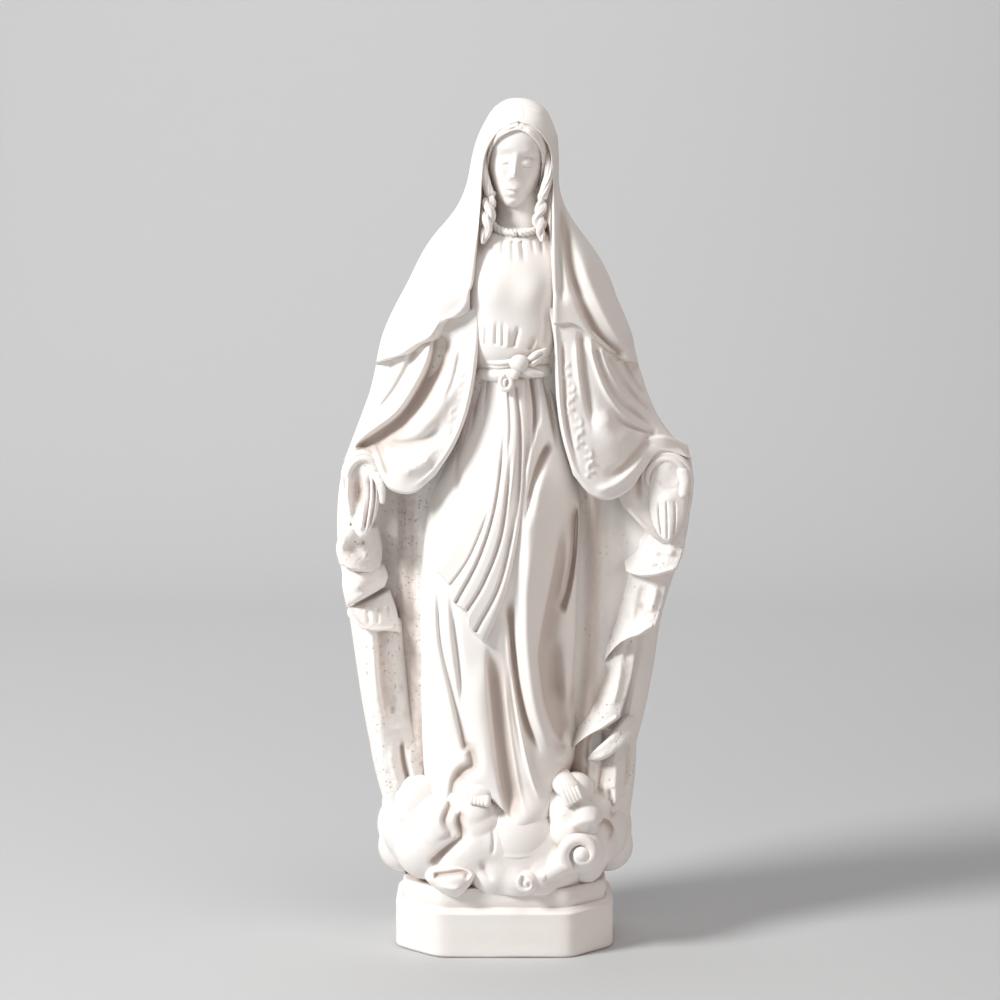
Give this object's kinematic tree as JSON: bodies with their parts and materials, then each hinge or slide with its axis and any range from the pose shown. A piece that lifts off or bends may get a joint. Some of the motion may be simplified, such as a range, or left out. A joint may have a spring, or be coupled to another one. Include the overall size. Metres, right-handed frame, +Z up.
{
  "type": "madonna statue",
  "caption": "Standing veiled woman in a flowing mantle, open hands held low, on a globe in rolled clouds over an eight-sided plinth, cast in unpainted plaster.",
  "frame": {"origin": "centre of the plinth's flat underside", "axes": "+Z up along the figure, -Y the way the figure faces, +X towards the figure's left hand"},
  "size_m": [0.1258, 0.0687, 0.3],
  "materials": {
    "plaster": "matte"
  },
  "bodies": {
    "root": {"plinth": "plaster", "globe": "plaster", "front_cloud": "plaster", "right_cloud": "plaster", "left_cloud": "plaster", "back_cloud": "plaster", "left_scroll": "plaster", "front_scroll": "plaster", "right_scroll": "plaster", "right_foot": "plaster", "left_foot": "plaster", "gown_skirt": "plaster", "bodice": "plaster", "collar": "plaster", "sash_band": "plaster", "sash_knot": "plaster", "sash_loop": "plaster", "sash_tail": "plaster", "right_drape": "plaster", "left_drape": "plaster", "right_cuff": "plaster", "left_cuff": "plaster", "right_hand": "plaster", "left_hand": "plaster", "right_ruffle": "plaster", "left_ruffle": "plaster", "mantle_back": "plaster", "veil": "plaster", "head": "plaster", "hair": "plaster", "right_braid": "plaster", "left_braid": "plaster"}
  },
  "joints": []
}
